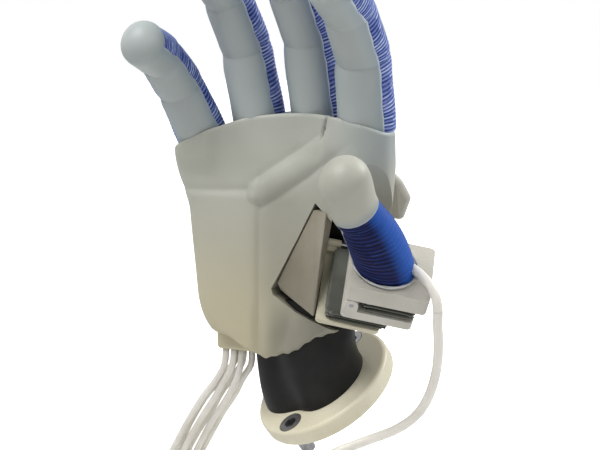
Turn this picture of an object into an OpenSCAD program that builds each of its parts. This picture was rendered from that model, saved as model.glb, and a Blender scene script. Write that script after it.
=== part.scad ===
// Soft robot hand: a five-finger pneumatic gripper on a tilted arm flange.
// Frame: origin at the centre of the flange's arm-side face, +Z up along the hand,
// the palm faces -Y and the thumb is on +X.

/* [Flange] */
// Diameter of the arm flange
flange_d = 63; // [60:1:70]
// Thickness of the arm flange
flange_t = 8; // [7:0.5:12]
// Rounding of the flange's edges
flange_edge_r = 1.8; // [0.5:0.1:2.5]
// Diameter of the circle that the two screws sit on
bolt_circle_d = 50; // [49:0.5:51]
// Angle of the front screw round the flange
bolt_angle = -77; // [-90:1:-70]
// Diameter of the screws' threads
bolt_d = 6; // [5:0.5:6]
// Diameter of the screws' necks inside the flange
bolt_neck_d = 4.8; // [4:0.1:4.9]
// Diameter of the screws' heads
bolt_head_d = 10; // [8.5:0.5:10]
// Height of the screws' heads
bolt_head_h = 6; // [4:0.5:6.5]
// Size across the flats of the screws' hexagon sockets
bolt_hex = 5; // [4:0.5:5]
// Length of screw that stands out behind the flange
bolt_reach = 8; // [6:1:16]

/* [Wrist] */
// Forward tilt of the flange against the hand
wrist_tilt = 37; // [30:1:42]
// Turn of the flange towards the little finger
wrist_yaw = 29; // [20:1:35]
// Radius of the wrist's foot on the flange
wrist_foot_r = 20.4; // [18:0.2:21]
// Height of the wrist's top inside the palm
wrist_top_z = 44; // [42:1:50]

/* [Palm] */
// Thickness of the palm at the knuckles
palm_t = 25; // [23:0.5:28]
// Height of the palm at the middle finger
palm_top = 122.5; // [120:0.5:126]
// Clearance of the dark frame inside the skin
lining_gap = 0.3; // [0.2:0.1:0.6]

/* [Fingers] */
// Radius of the index finger
index_r = 12; // [11:0.1:12.4]
// Radius of the middle finger
middle_r = 11.4; // [10.5:0.1:11.8]
// Radius of the ring finger
ring_r = 11.2; // [10.5:0.1:11.6]
// Radius of the little finger
little_r = 10.8; // [10:0.1:11.4]
// Gap between two finger segments, and between finger and palm
crease_gap = 0.3; // [0.25:0.05:0.5]
// Depth of the creases in the finger pads
crease_depth = 1; // [0.4:0.1:1.4]
// Distance between two ridges of the thread winding
winding_pitch = 2.2; // [1.8:0.1:3]
// Height of the winding's ridges
winding_ridge = 0.5; // [0.3:0.05:0.7]

/* [Thumb] */
// Radius of the thumb
thumb_r = 12; // [11:0.1:12.4]
// Width of the thumb's saddle
saddle_w = 33; // [31:0.5:35]
// Depth of the thumb's saddle, towards the palm
saddle_depth = 30; // [28:0.5:32]
// Thickness of the thumb's saddle
saddle_t = 8; // [7:0.5:9]
// Thickness of the middle plate
mid_plate_t = 4.2; // [3.5:0.1:5]
// Space for the lower bellows, closed
lower_bellows_gap = 4.5; // [4:0.1:5]
// Space for the upper bellows, closed
upper_bellows_gap = 6; // [5.5:0.1:7]
// Diameter of the hinge pins
pin_d = 2; // [1.5:0.1:2.4]
// Radial clearance of a hinge pin in the part that turns
pin_clearance = 0.05; // [0.02:0.01:0.08]

/* [Hoses] */
// Outer diameter of the six thin hoses
hose_d = 3; // [2.5:0.1:3.2]
// Outer diameter of the thumb's hose
thumb_hose_d = 4; // [3.6:0.1:4.4]

/* [Hidden] */
$fn = 48;
eps = 0.01;

silicone = [0.72, 0.73, 0.68];
thread_blue = [0.12, 0.22, 0.62];
cream = [0.89, 0.86, 0.76];
plate_white = [0.80, 0.79, 0.75];
bellows_green = [0.35, 0.38, 0.34];
wrist_black = [0.09, 0.09, 0.09];
steel = [0.6, 0.6, 0.62];
hose_clear = [0.86, 0.86, 0.82];

// ---- vectors ----
function lerp(a, b, t) = a + (b - a) * t;
function smooth(t) = let (c = min(1, max(0, t))) c * c * (3 - 2 * c);
function bump(t, w) = exp(-(t * t) / (w * w));
function about_z(p, a) = [p.x * cos(a) - p.y * sin(a), p.x * sin(a) + p.y * cos(a), p.z];
function about_x(p, a) = [p.x, p.y * cos(a) - p.z * sin(a), p.y * sin(a) + p.z * cos(a)];
function on_flange(p) = about_z(about_x(p, wrist_tilt), -wrist_yaw);
function distance_to_line(p, a, b) = ((b.x - a.x) * (a.y - p.y) - (a.x - p.x) * (b.y - a.y)) / norm(b - a);
function place_on_line(p, a, b) = ((p - a) * (b - a)) / ((b - a) * (b - a));

// A closed solid through a list of rings, each with the same number of points
module loft(rings) {
  n = len(rings[0]);
  m = len(rings);
  points = [for (ring = rings) for (p = ring) p];
  walls = [for (i = [0 : m - 2], j = [0 : n - 1])
    let (a = i * n + j, b = i * n + (j + 1) % n) each [[a, a + n, b], [b, a + n, b + n]]];
  bottom = [for (j = [0 : n - 1]) j];
  top = [for (j = [n - 1 : -1 : 0]) (m - 1) * n + j];
  polyhedron(points, concat(walls, [bottom, top]), convexity = 8);
}

// A tube swept along a smooth path through hand-placed points
function spline(p, i, t) =
  let (n = len(p), a = p[max(0, i - 1)], b = p[i], c = p[min(n - 1, i + 1)], d = p[min(n - 1, i + 2)])
  0.5 * ((2 * b) + (c - a) * t + (2 * a - 5 * b + 4 * c - d) * t * t + (3 * b - a - 3 * c + d) * t * t * t);
function spline_path(p, steps) =
  concat([for (i = [0 : len(p) - 2], k = [0 : steps - 1]) spline(p, i, k / steps)], [p[len(p) - 1]]);
function unit(v) = v / norm(v);
function tangent(q, i) = unit(q[min(len(q) - 1, i + 1)] - q[max(0, i - 1)]);
module tube(route, d, sides, steps) {
  q = spline_path(route, steps);
  side = [1, 0.3, 0.2];
  loft([for (i = [0 : len(q) - 1])
    let (t = tangent(q, i), u = unit(cross(t, side)), v = cross(t, u))
    [for (j = [0 : sides - 1]) let (a = 360 * j / sides) q[i] + d / 2 * (u * cos(a) + v * sin(a))]]);
}

// ---- wrist and flange ----
module on_flange_frame() rotate([0, 0, -wrist_yaw]) rotate([wrist_tilt, 0, 0]) children();
module at_screws() for (a = [bolt_angle, bolt_angle + 180])
  rotate([0, 0, a]) translate([bolt_circle_d / 2, 0, 0]) children();
head_seat = flange_t - bolt_head_h;

// Cream disc with rounded edges and two counterbored screw holes
module arm_flange() color(cream) on_flange_frame() difference() {
  rotate_extrude($fn = 96) {
    square([flange_d / 2 - flange_edge_r, flange_t]);
    translate([0, flange_edge_r]) square([flange_d / 2, flange_t - 2 * flange_edge_r]);
    for (z = [flange_edge_r, flange_t - flange_edge_r])
      translate([flange_d / 2 - flange_edge_r, z]) circle(flange_edge_r, $fn = 24);
  }
  at_screws() {
    translate([0, 0, -1]) cylinder(d = bolt_d + 0.5, h = flange_t + 2);
    translate([0, 0, head_seat]) cylinder(d = bolt_head_d + 0.6, h = flange_t);
  }
}

// Two captive socket-head screws: a thin neck in the flange, and the thread that reaches out behind it
module flange_screws() color(steel) on_flange_frame() at_screws() difference() {
  union() {
    translate([0, 0, head_seat]) cylinder(d = bolt_head_d, h = bolt_head_h);
    translate([0, 0, -eps]) cylinder(d = bolt_neck_d, h = head_seat + 2 * eps);
    translate([0, 0, -bolt_reach]) cylinder(d = bolt_d, h = bolt_reach);
  }
  translate([0, 0, flange_t - bolt_head_h * 0.6])
    cylinder(d = bolt_hex / cos(30), h = bolt_head_h, $fn = 6);
}

// The wrist's outline at its foot: round, spread at the little-finger side, flat at the screws
function angle_between(a, b) = abs(((a - b + 540) % 360) - 180);
function foot_radius(a) = wrist_foot_r
  + 6.5 * bump(angle_between(a, bolt_angle - 53), 30)
  - 2.6 * bump(angle_between(a, bolt_angle), 20)
  - 2.6 * bump(angle_between(a, bolt_angle + 180), 20);
wrist_top = [-6, -13];
wrist_top_rx = 24;
wrist_top_ry = 11;
function wrist_point(a, t, grow) =
  let (r = foot_radius(a) + grow,
       foot = on_flange([r * cos(a), r * sin(a), flange_t]),
       top = [wrist_top.x + (wrist_top_rx + grow) * cos(a - wrist_yaw),
              wrist_top.y + (wrist_top_ry + grow) * sin(a - wrist_yaw), wrist_top_z + (grow > 0 ? eps : 0)],
       leave = on_flange([0, 0, 30]), arrive = [0, 0, 26],
       s = t * t, c = s * t)
  foot * (2 * c - 3 * s + 1) + leave * (c - 2 * s + t) + top * (3 * s - 2 * c) + arrive * (c - s);
module wrist_form(grow = 0) loft([for (i = [0 : 8])
  [for (a = [0 : 15 : 345]) wrist_point(a, i / 8, grow)]]);
module wrist_adapter() color(wrist_black) wrist_form();

// ---- palm ----
palm_z0 = 28;
function palm_left(z) = lookup(z,
  [[16, -34], [24, -38], [30, -44], [36, -47.5], [44, -50], [68, -53], [90, -55.5], [108, -60], [124, -60.5]]);
function palm_right(z) = lookup(z, [[16, 4], [24, 12], [34, 20], [60, 30], [84, 36], [104, 38.5], [124, 38.5]]);
function palm_bottom(x) = lookup(x,
  [[-60, 31], [-50, 27.5], [-33, 26.5], [-27, 22], [-18, 17.5], [-9, 19], [0, 24], [10, 30], [22, 33], [40, 40]]);
function palm_crest(x) = palm_top + lookup(x,
  [[-60, -16], [-49, -11.5], [-38, -6.5], [-25, -2], [-10, 0], [5, 0], [22, -2], [30, -3.5], [40, -8]]);
function palm_centre(x, t) = lerp(-12.5 - 12 * pow((x - 2) / 55, 2),
  lookup(x, [[-60, -29], [-48.5, -24.5], [-26, -15.5], [-0.5, -10.5], [25, -17], [38, -21]]), smooth((t - 0.4) / 0.6));
// Relief of the palmar side: the roll across the palm, the creases and the pads
roll_a = [-19.5, 89.5];
roll_b = [17, 114];
heel_crease_z = 90;
heel_crease_x = -19.5;
function relief(x, z) =
  let (q = [x, z], s = distance_to_line(q, roll_a, roll_b), along = place_on_line(q, roll_a, roll_b),
       on_roll = smooth((along + 0.08) * 9) * smooth((1.12 - along) * 5),
       heel = smooth((heel_crease_x - x) / 3) * smooth((heel_crease_z - z) / 4))
  on_roll * (2.6 * bump(s, 5) + 1.2 * bump(s, 9))
  + 2.2 * heel
  - 2 * bump(z - heel_crease_z, 2.2) * smooth((heel_crease_x - 3 - x) / 4)
  - 1.6 * bump(x - heel_crease_x, 2) * smooth((88 - z) / 5) * smooth((z - 38) / 8)
  + 1.5 * bump(x + 38, 14) * bump(z - 62, 26);
// One ring of the palm at height share t; inset shrinks it for the skin's inside
front_n = 24;
back_n = 8;
function palm_ring(t, inset) =
  let (z0 = lerp(palm_z0, palm_top, t), xl = palm_left(z0) + inset, xr = palm_right(z0) - inset,
       h = palm_t / 2 + 1.5 * (1 - t) - inset)
  [for (i = [0 : front_n + back_n - 1])
    let (front = i < front_n, u = front ? i / front_n : 1 - (i - front_n) / back_n,
         w = (1 - cos(180 * u)) / 2, x = lerp(xl, xr, lerp(u, w, 0.72)),
         e = 2 * (x - xl) / (xr - xl) - 1, depth = h * pow(max(0, 1 - pow(abs(e), 3.2)), 1 / 2.6),
         z = lerp(palm_bottom(x) + inset, palm_crest(x) - inset, t),
         y = palm_centre(x, t) + (front ? -depth : depth),
         tip = front ? -relief(x, z) * (inset > 1 ? 0 : 1) * min(1, depth / 8) : 0)
    [x, y + tip, z]];
palm_rings = 17;
skin_rounding = 3;
module palm_form() loft([
  palm_ring(0, skin_rounding), palm_ring(0.012, 1),
  for (i = [0 : palm_rings]) palm_ring(lerp(0.03, 0.965, i / palm_rings), 0),
  palm_ring(0.985, 1), palm_ring(1, skin_rounding)]);
// Opening in the palm for the thumb's base
window_top = [5.5, 86];
window_corner = [-14, 49];
window_foot = [-4, 40];
window_back_y = -15;
window_side = [70, 30];
window_roof = [70, 92];
module thumb_window() translate([0, window_back_y, 0]) rotate([90, 0, 0]) linear_extrude(60)
  polygon([window_top, window_corner, window_corner + [1, -2.5], window_foot,
           [24, 28], window_side, window_roof, [40, 88]]);

// Dark printed frame inside the palm, standing on the wrist's top
frame_front = -15;
frame_t = 6;
frame_outline = [[-28, wrist_top_z], [16, wrist_top_z], [24, 60], [28, 92],
  [18, 104], [-28, 104], [-34, 92], [-34, 60]];
module frame_plate(gap) translate([0, frame_front + frame_t + gap, 0]) rotate([90, 0, 0])
  linear_extrude(frame_t + 2 * gap) offset(delta = gap) polygon(frame_outline);
module palm_frame() color(wrist_black) difference() {
  frame_plate(0);
  fan_room();
}

// Silicone skin of the palm, cast in one with the tab under its heel where the six thin hoses leave,
// with a seat under each finger
tab_at = [-45.5, -20, 19];
tab_size = [18.5, 13, 14];
seat_depth = 16;
module palm_skin() color(silicone) difference() {
  union() {
    palm_form();
    translate(tab_at) linear_extrude(tab_size.z) rounded_plate(tab_size.x, tab_size.y, 2);
    for (f = FINGERS) at_finger(f) translate([0, 0, -seat_depth - crease_gap])
      cylinder(r = f[RADIUS] + 0.5, h = seat_depth);
  }
  frame_plate(lining_gap);
  wrist_form(lining_gap);
  thumb_window();
  fan_room();
  for (f = FINGERS) at_finger(f) translate([0, 0, -crease_gap]) cylinder(r = f[RADIUS] + 1.5, h = 30);
}

// ---- fingers ----
// name, seat, turns [lean, splay, yaw], radius, segment lengths, bends between segments
SEAT = 1;
TURN = 2;
RADIUS = 3;
LENGTHS = 4;
BENDS = 5;
FINGERS = [
  ["index", [25, -17, 119.5], [14, 3, 1], index_r, [28, 24, 27], [24, 22]],
  ["middle", [-0.5, -10.5, 121.5], [13, -1, -1], middle_r, [33, 26, 29], [20, 20]],
  ["ring", [-26, -15.5, 119.5], [11, -6, 4], ring_r, [30, 26, 28], [20, 20]],
  ["little", [-48.5, -24.5, 111.5], [20, -19.5, 17], little_r, [24, 20, 27], [25, 26]]];
THUMB = ["thumb", [0, 0, 0], [0, 0, 0], thumb_r, [22, 31], [18]];
seam_share = 0.42;
function bend(f, k) = k < 1 || k > len(f[BENDS]) ? 0 : f[BENDS][k - 1];
function taper(f, k) = f[RADIUS] * (1 - 0.055 * k);

module at_finger(f) translate(f[SEAT]) rotate(f[TURN]) children();
// Frame of segment k, at its lower crease
module at_segment(f, k) {
  if (k <= 1) children();
  else at_segment(f, k - 1) translate([0, 0, f[LENGTHS][k - 2]]) rotate([bend(f, k - 1), 0, 0]) children();
}
// Outline of one segment: fuller in the middle, drawn in at the creases, round at the tip
function segment_outline(f, k) =
  let (l = f[LENGTHS][k - 1], tip = k == len(f[LENGTHS]), r0 = taper(f, k - 1), r1 = taper(f, k), n = 10,
       body_l = tip ? l - r1 : l,
       side = [for (i = [0 : n]) let (z = lerp(k == 1 ? -2 : -5, tip ? body_l : l + 5, i / n))
         [lerp(r0, r1, z / l) - crease_depth * ((k == 1 ? 0 : bump(z, 3)) + (tip ? 0 : bump(z - l, 3))), z]],
       dome = tip ? [for (a = [9 : 9 : 81]) [side[n].x * cos(a), body_l + r1 * sin(a)]] : [])
  concat([[0, side[0].y]], side, dome, [[0, tip ? l : side[n].y]]);
// Outline of the thread winding: ridges one pitch apart
function winding_outline(f, k, z0, z1) =
  let (l = f[LENGTHS][k - 1], r0 = taper(f, k - 1) - 0.2, r1 = taper(f, k) - 0.2,
       n = max(1, round((z1 - z0) / winding_pitch)), p = (z1 - z0) / n)
  concat([[0, z0]],
    [for (i = [0 : n - 1], s = [0, 0.5]) let (z = z0 + (i + s) * p)
      [lerp(r0, r1, z / l) - (s == 0 ? winding_ridge : 0), z]],
    [[lerp(r0, r1, z1 / l) - winding_ridge, z1], [0, z1]]);
// Keeps what lies between the mitred ends of a segment
module between_creases(f, k) intersection() {
  children();
  rotate([-bend(f, k - 1) / 2, 0, 0]) translate([-30, -30, k == 1 ? 0 : crease_gap / 2]) cube([60, 60, 90]);
  if (k < len(f[LENGTHS])) translate([0, 0, f[LENGTHS][k - 1]]) rotate([bend(f, k) / 2, 0, 0])
    translate([-30, -30, -90 - crease_gap / 2]) cube([60, 60, 90]);
}
// Height at which the pad's silicone closes over the winding on the last segment
function cap_z(f, k) = k < len(f[LENGTHS]) ? f[LENGTHS][k - 1] + 12
  : f[0] == "thumb" ? 5 : f[LENGTHS][k - 1] - 0.85 * f[RADIUS];
module dorsal_room(f, k) translate([-30, -seam_share * f[RADIUS], -12]) cube([60, 60, 12 + cap_z(f, k)]);
module chamber(f, k) color(thread_blue) between_creases(f, k) intersection() {
  rotate_extrude() winding_shape(f, k);
  dorsal_room(f, k);
}
module winding_shape(f, k)
  polygon(winding_outline(f, k, k == 1 ? 0 : -4, min(cap_z(f, k), f[LENGTHS][k - 1] + 4)));
module pad(f, k) color(silicone) between_creases(f, k) difference() {
  rotate_extrude() polygon(segment_outline(f, k));
  dorsal_room(f, k);
}
module finger_chamber(i, k) at_finger(FINGERS[i]) at_segment(FINGERS[i], k) chamber(FINGERS[i], k);
module finger_pad(i, k) at_finger(FINGERS[i]) at_segment(FINGERS[i], k) pad(FINGERS[i], k);

// ---- thumb base: a fan of plates with bellows between them ----
// Fan frame: +X along the plates' front edges, +Y into the hand, +Z out of the plates
fan_at = [27, -45, 44];
fan_turn = [37, 12, 28];
module in_fan() translate(fan_at) rotate(fan_turn) children();
plate_t = 2;
plate_left = -9.2;
plate_right = 17;
plate_depth = 40;
plate_top_z = -lower_bellows_gap;
mid_w = 29;
mid_depth = plate_depth + 2;
mid_top_z = mid_plate_t;
saddle_z = mid_top_z + upper_bellows_gap;
saddle_top_z = saddle_z + saddle_t;
lower_pin_z = -lower_bellows_gap / 2;
lower_pin_y = plate_depth + 1.5;
lower_barrel_r = lower_bellows_gap / 2 - 0.3;
lower_ear_w = 5.5;
upper_pin_x = 3.4;
upper_pin_z = mid_top_z + upper_bellows_gap / 2;
upper_barrel_r = upper_bellows_gap / 2 - 0.3;
upper_ear_l = 8;
hinge_end_gap = 0.3;
plate_corner_r = 2;
module rounded_plate(x, y, r) {
  translate([r, 0]) square([x - 2 * r, y]);
  translate([0, r]) square([x, y - 2 * r]);
  for (i = [r, x - r], j = [r, y - r]) translate([i, j]) circle(r);
}

// Room that the fan's plates and their hinge need in the palm
fan_clearance = 1;
fan_ahead = 20;
fan_behind = 4;
fan_swing_room = 60;
fan_room_w = 80;
module fan_room() in_fan() translate([plate_left - fan_clearance, -fan_ahead, plate_top_z - plate_t - eps])
  cube([fan_room_w, fan_ahead + mid_depth + fan_behind, fan_swing_room]);
wedge_face_y = -26;
wedge_back_y = frame_front - 0.9;
edge_t = 1.2;
wedge_foot_z = wrist_top_z + edge_t;
wedge_inset = 0.7;
wedge_under_plate = 9;
wedge_seam = 0.05;
// Printed wedge that rises out of the palm and carries the fan
module thenar_wedge() color(plate_white) difference() {
  hull() {
    for (p = [[5.5, wedge_face_y, 82.5], [-10.5, wedge_face_y, 50.5], [-4, wedge_face_y, wedge_foot_z + 0.6],
              [-9, wedge_back_y, 50.5], [-3, wedge_back_y, wedge_foot_z + 3],
              [12, wedge_back_y, wedge_foot_z + 3]])
      translate(p) cube(edge_t, center = true);
    in_fan() {
      for (y = [wedge_inset, plate_depth - 2])
        translate([plate_left - 0.3, y, plate_top_z - 1]) cube(edge_t, center = true);
      for (y = [wedge_inset, plate_depth / 2])
        translate([wedge_under_plate, y, plate_top_z - plate_t]) cube(edge_t, center = true);
    }
  }
  in_fan() translate([plate_left - wedge_seam, -5, plate_top_z - plate_t]) cube(fan_room_w);
}
// Fixed plate of the fan, with the two ears of the lower hinge
module thenar_plate() color(cream) in_fan() difference() {
  union() {
    translate([plate_left, 0, plate_top_z - plate_t]) linear_extrude(plate_t)
      rounded_plate(plate_right - plate_left, plate_depth, plate_corner_r);
    for (x = [plate_left, plate_right - lower_ear_w]) {
      translate([x, lower_pin_y, lower_pin_z]) rotate([0, 90, 0]) cylinder(r = lower_barrel_r, h = lower_ear_w);
      translate([x, plate_depth - 3, plate_top_z - plate_t])
        cube([lower_ear_w, lower_pin_y - plate_depth + 3, lower_pin_z - plate_top_z + plate_t]);
    }
  }
  translate([plate_left - 1, lower_pin_y, lower_pin_z]) rotate([0, 90, 0])
    cylinder(d = pin_d, h = plate_right - plate_left + 2);
}
module lower_hinge_pin() color(steel) in_fan()
  translate([plate_left, lower_pin_y, lower_pin_z]) rotate([0, 90, 0]) cylinder(d = pin_d, h = plate_right - plate_left);

// A flat bellows: pleats with round edges, stacked on one another
module pleats(w, l, h, n) rotate([90, 0, 0]) translate([0, 0, -l]) linear_extrude(l)
  for (i = [0 : n - 1]) translate([0, i * h / n]) {
    r = h / n / 2;
    translate([r, 0]) square([w - 2 * r, 2 * r]);
    for (x = [r, w - r]) translate([x, r]) circle(r, $fn = 24);
  }
bellows_clearance = 0.3;
module lower_bellows() color(bellows_green) in_fan() translate([-5.5, 0.8, plate_top_z])
  pleats(25.5, 33, lower_bellows_gap - bellows_clearance, 2);
module upper_bellows() color(bellows_green) in_fan() translate([upper_pin_x + 4, 0.8, mid_top_z])
  pleats(20.5, 26, upper_bellows_gap - bellows_clearance, 3);

// Middle plate: barrel of the lower hinge at its inner edge, ears of the upper hinge at its left
module middle_plate() color(plate_white) in_fan() difference() {
  union() {
    linear_extrude(mid_plate_t) rounded_plate(mid_w, mid_depth, plate_corner_r);
    translate([0.5, lower_pin_y, lower_pin_z]) rotate([0, 90, 0])
      cylinder(r = lower_barrel_r, h = plate_right - lower_ear_w - hinge_end_gap - 0.5);
    translate([0.5, lower_pin_y - lower_barrel_r, lower_pin_z])
      cube([plate_right - lower_ear_w - hinge_end_gap - 0.5, 2 * lower_barrel_r, -lower_pin_z + 1]);
    for (y = [0, saddle_depth - upper_ear_l]) {
      translate([upper_pin_x, y + upper_ear_l, upper_pin_z]) rotate([90, 0, 0])
        cylinder(r = upper_barrel_r, h = upper_ear_l);
      translate([upper_pin_x - upper_barrel_r, y, mid_top_z - 1])
        cube([2 * upper_barrel_r, upper_ear_l, upper_pin_z - mid_top_z + 1]);
    }
    translate([mid_w - 7, mid_depth - 16, -9]) linear_extrude(9 + eps) rounded_plate(7, 16, plate_corner_r);
  }
  translate([-20, lower_pin_y, lower_pin_z]) rotate([0, 90, 0]) cylinder(d = pin_d + 2 * pin_clearance, h = 60);
  translate([upper_pin_x, saddle_depth + 1, upper_pin_z]) rotate([90, 0, 0])
    cylinder(d = pin_d, h = saddle_depth + 2);
}
module upper_hinge_pin() color(steel) in_fan()
  translate([upper_pin_x, saddle_depth, upper_pin_z]) rotate([90, 0, 0]) cylinder(d = pin_d, h = saddle_depth);

// Saddle that the thumb stands on, with the barrel of the upper hinge under its left edge
module thumb_saddle() color(plate_white) in_fan() difference() {
  union() {
    difference() {
      translate([0, 0, saddle_z]) linear_extrude(saddle_t)
        rounded_plate(saddle_w, saddle_depth, plate_corner_r);
      translate([-1, -1, saddle_top_z]) rotate([-40, 0, 0]) translate([0, -10, 0]) cube([saddle_w + 2, 10, 10]);
    }
    barrel_l = saddle_depth - 2 * upper_ear_l - 2 * hinge_end_gap;
    translate([upper_pin_x, upper_ear_l + hinge_end_gap + barrel_l, upper_pin_z]) rotate([90, 0, 0])
      cylinder(r = upper_barrel_r, h = barrel_l);
    translate([upper_pin_x - upper_barrel_r, upper_ear_l + hinge_end_gap, upper_pin_z])
      cube([2 * upper_barrel_r, barrel_l, upper_bellows_gap / 2 + 1]);
  }
  translate([upper_pin_x, saddle_depth + 1, upper_pin_z]) rotate([90, 0, 0])
    cylinder(d = pin_d + 2 * pin_clearance, h = saddle_depth + 2);
}
collar_h = 10;
collar_w = 1.2;
thumb_foot = [13.5, 14.5];
thumb_lean = 22;
module at_thumb() in_fan() translate([thumb_foot.x, thumb_foot.y, saddle_top_z]) rotate([0, 0, -90])
  rotate([thumb_lean, 0, 0]) translate([0, 0, thumb_r * tan(thumb_lean)]) children();
// Clear foot ring of the thumb
module thumb_collar() color(hose_clear) intersection() {
  at_thumb() translate([0, 0, -collar_h]) cylinder(r1 = thumb_r - 2, r2 = thumb_r + collar_w, h = collar_h);
  in_fan() translate([-20, -20, saddle_top_z]) cube(90);
}
module thumb_chamber(k) at_thumb() at_segment(THUMB, k) chamber(THUMB, k);
module thumb_pad(k) at_thumb() at_segment(THUMB, k) pad(THUMB, k);

// Printed bracket beside the index knuckle, behind the thumb's fan
module knuckle_bracket() color(plate_white) difference() {
  hull() for (p = [[30, -4.5, 96], [32.5, -3, 93], [34, 1, 87], [30.5, 3, 80], [25, -3, 94], [23, 1, 81]])
    translate(p) sphere(2.5, $fn = 20);
  palm_form();
}
// ---- hoses ----
HOSE_ROUTES = [
  [[-42, -17, 19], [-44, -15.5, 11], [-50, -12.5, 3], [-59, -8, -6], [-69, -2, -17], [-82, 7, -32],
    [-95, 18, -47], [-105, 32, -58], [-108, 50, -61.5]],
  [[-38, -17, 19], [-40, -15.5, 11], [-46, -12.5, 3], [-54, -8, -7], [-64, -2, -18], [-77, 7, -33],
    [-89, 18, -47], [-98.5, 32, -58], [-101.6, 50, -61.5]],
  [[-34, -17, 19], [-36, -15.5, 11], [-41, -12, 2], [-49, -7, -8], [-59, -1, -19], [-71, 8, -33],
    [-83, 19, -47], [-92, 32, -58], [-95.2, 50, -61.5]],
  [[-40, -12, 19], [-42, -10, 12], [-48, -6.5, 6], [-57, -1.5, -2], [-67, 4, -12], [-80, 13, -27],
    [-92, 24, -42], [-102, 36, -54], [-104.8, 50, -61.5]],
  [[-36, -12, 19], [-38, -10, 12], [-44, -6.5, 5], [-53, -1.5, -4], [-62, 4, -15], [-75, 13, -29],
    [-87, 24, -42], [-96, 36, -54], [-98.4, 50, -61.5]],
  [[-32, -12, 19], [-34, -9.5, 11], [-40, -6, 4], [-47, -1, -5], [-57, 5, -16], [-69, 14, -30],
    [-81, 25, -43], [-90, 36, -54], [-92, 50, -61.5]]];
THUMB_FEED = [[52, -32.5, 64], [56.5, -33.8, 62], [61.5, -35.6, 58.5], [65, -36.7, 53.8], [65.8, -36.2, 48.6]];
THUMB_HOSE = [[65.8, -36, 47.8], [65, -34.2, 42], [64, -31, 33], [61.5, -27, 22], [56.5, -23, 10], [49, -19, 0],
  [39, -18, -7.5], [27, -20, -13], [14, -26, -19], [0, -24, -28], [-14, -13, -40], [-28, 3, -51],
  [-43, 16, -58], [-60, 21.8, -62]];
module hose(i) color(hose_clear) tube(HOSE_ROUTES[i - 1], hose_d, 8, 1);
// The thumb's hose: its feed moves with the thumb, and the rest is fixed
module thumb_feed_hose() color(hose_clear) tube(THUMB_FEED, thumb_hose_d, 10, 1);
module thumb_hose() color(hose_clear) tube(THUMB_HOSE, thumb_hose_d, 10, 1);
coil_at = [-60, 50, -76];
coil_r = 37.5;
coil_w = 25;
coil_h = 16;
module hose_coil() color(hose_clear) translate(coil_at) rotate_extrude($fn = 96) translate([coil_r, coil_h / 2]) {
  square([coil_w - coil_h, coil_h], center = true);
  for (s = [-1, 1]) translate([s * (coil_w - coil_h) / 2, 0]) circle(coil_h / 2, $fn = 24);
}

arm_flange();
flange_screws();
wrist_adapter();
palm_frame();
palm_skin();
knuckle_bracket();
thenar_wedge();
thenar_plate();
lower_bellows();
middle_plate();
lower_hinge_pin();
upper_bellows();
upper_hinge_pin();
thumb_saddle();
thumb_collar();
thumb_chamber(1);  // thumb_chamber_1
thumb_pad(1);  // thumb_pad_1
thumb_chamber(2);  // thumb_chamber_2
thumb_pad(2);  // thumb_pad_2
finger_chamber(0, 1);  // index_chamber_1
finger_pad(0, 1);  // index_pad_1
finger_chamber(0, 2);  // index_chamber_2
finger_pad(0, 2);  // index_pad_2
finger_chamber(0, 3);  // index_chamber_3
finger_pad(0, 3);  // index_pad_3
finger_chamber(1, 1);  // middle_chamber_1
finger_pad(1, 1);  // middle_pad_1
finger_chamber(1, 2);  // middle_chamber_2
finger_pad(1, 2);  // middle_pad_2
finger_chamber(1, 3);  // middle_chamber_3
finger_pad(1, 3);  // middle_pad_3
finger_chamber(2, 1);  // ring_chamber_1
finger_pad(2, 1);  // ring_pad_1
finger_chamber(2, 2);  // ring_chamber_2
finger_pad(2, 2);  // ring_pad_2
finger_chamber(2, 3);  // ring_chamber_3
finger_pad(2, 3);  // ring_pad_3
finger_chamber(3, 1);  // little_chamber_1
finger_pad(3, 1);  // little_pad_1
finger_chamber(3, 2);  // little_chamber_2
finger_pad(3, 2);  // little_pad_2
finger_chamber(3, 3);  // little_chamber_3
finger_pad(3, 3);  // little_pad_3
hose(1);  // hose_1
hose(2);  // hose_2
hose(3);  // hose_3
hose(4);  // hose_4
hose(5);  // hose_5
hose(6);  // hose_6
thumb_feed_hose();
thumb_hose();
hose_coil();
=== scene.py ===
import math

import bmesh
import bpy
import numpy as np
from mathutils import Matrix, Vector


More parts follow.
